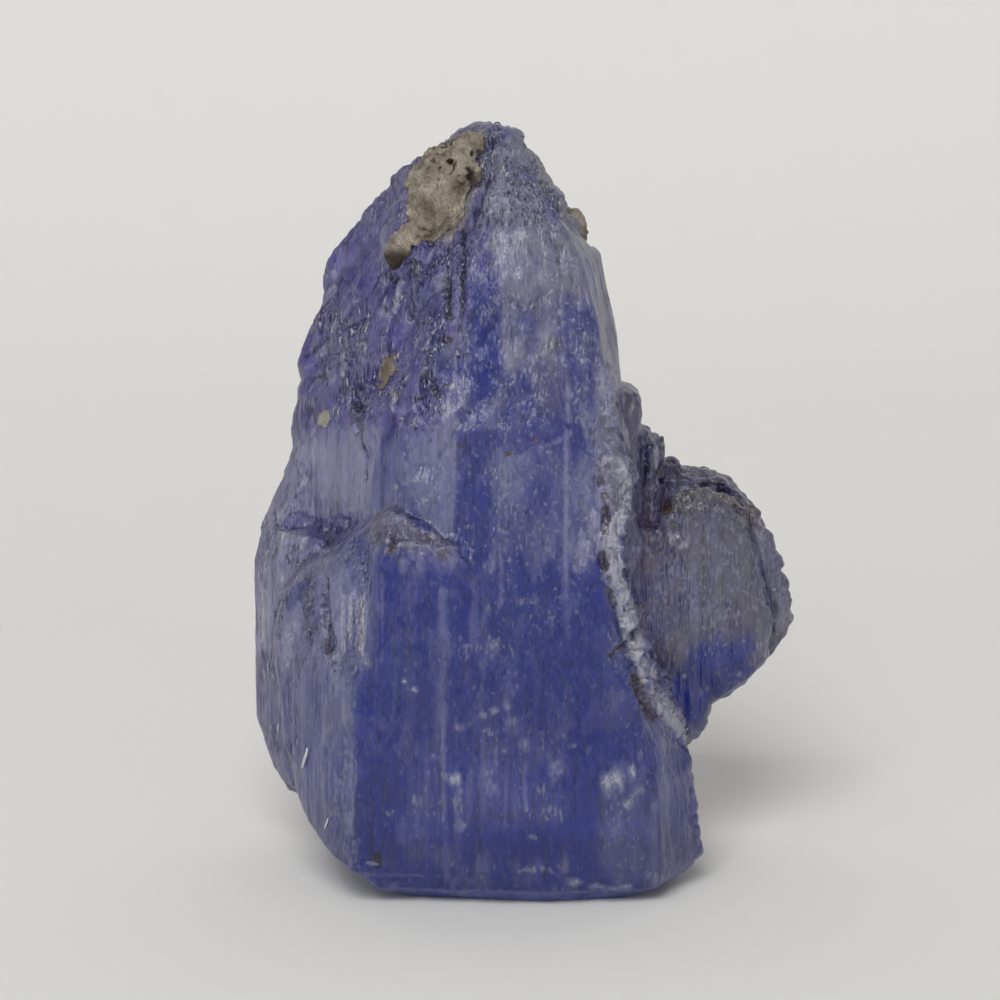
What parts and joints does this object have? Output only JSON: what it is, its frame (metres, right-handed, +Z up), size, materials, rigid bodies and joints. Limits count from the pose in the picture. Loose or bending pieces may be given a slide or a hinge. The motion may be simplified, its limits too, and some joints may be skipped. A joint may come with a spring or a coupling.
{
  "type": "rough tanzanite",
  "caption": "Uncut tanzanite crystal: a striated blue-violet spire with intergrown side crystals, a lobed plate and remnants of pale host rock, standing on a small natural flat.",
  "frame": {"origin": "middle of the bounding box in X and Y, in the plane of the small flat that the crystal rests on", "axes": "+Z up along the crystals' long axis; +X to the right of the widest view, towards the lobed plate; +Y away from the viewer of that view, through the crystal's thickness"},
  "size_m": [0.0168, 0.0102, 0.023],
  "materials": {
    "tanzanite": "natural blue-violet crystal faces, part see-through and part cloudy, vertically striated and etched, glossy to satin",
    "host_rock": null
  },
  "bodies": {
    "root": {"tanzanite_crystal": "tanzanite", "host_rock_crust": "host_rock", "host_rock_chip": "host_rock"}
  },
  "joints": []
}
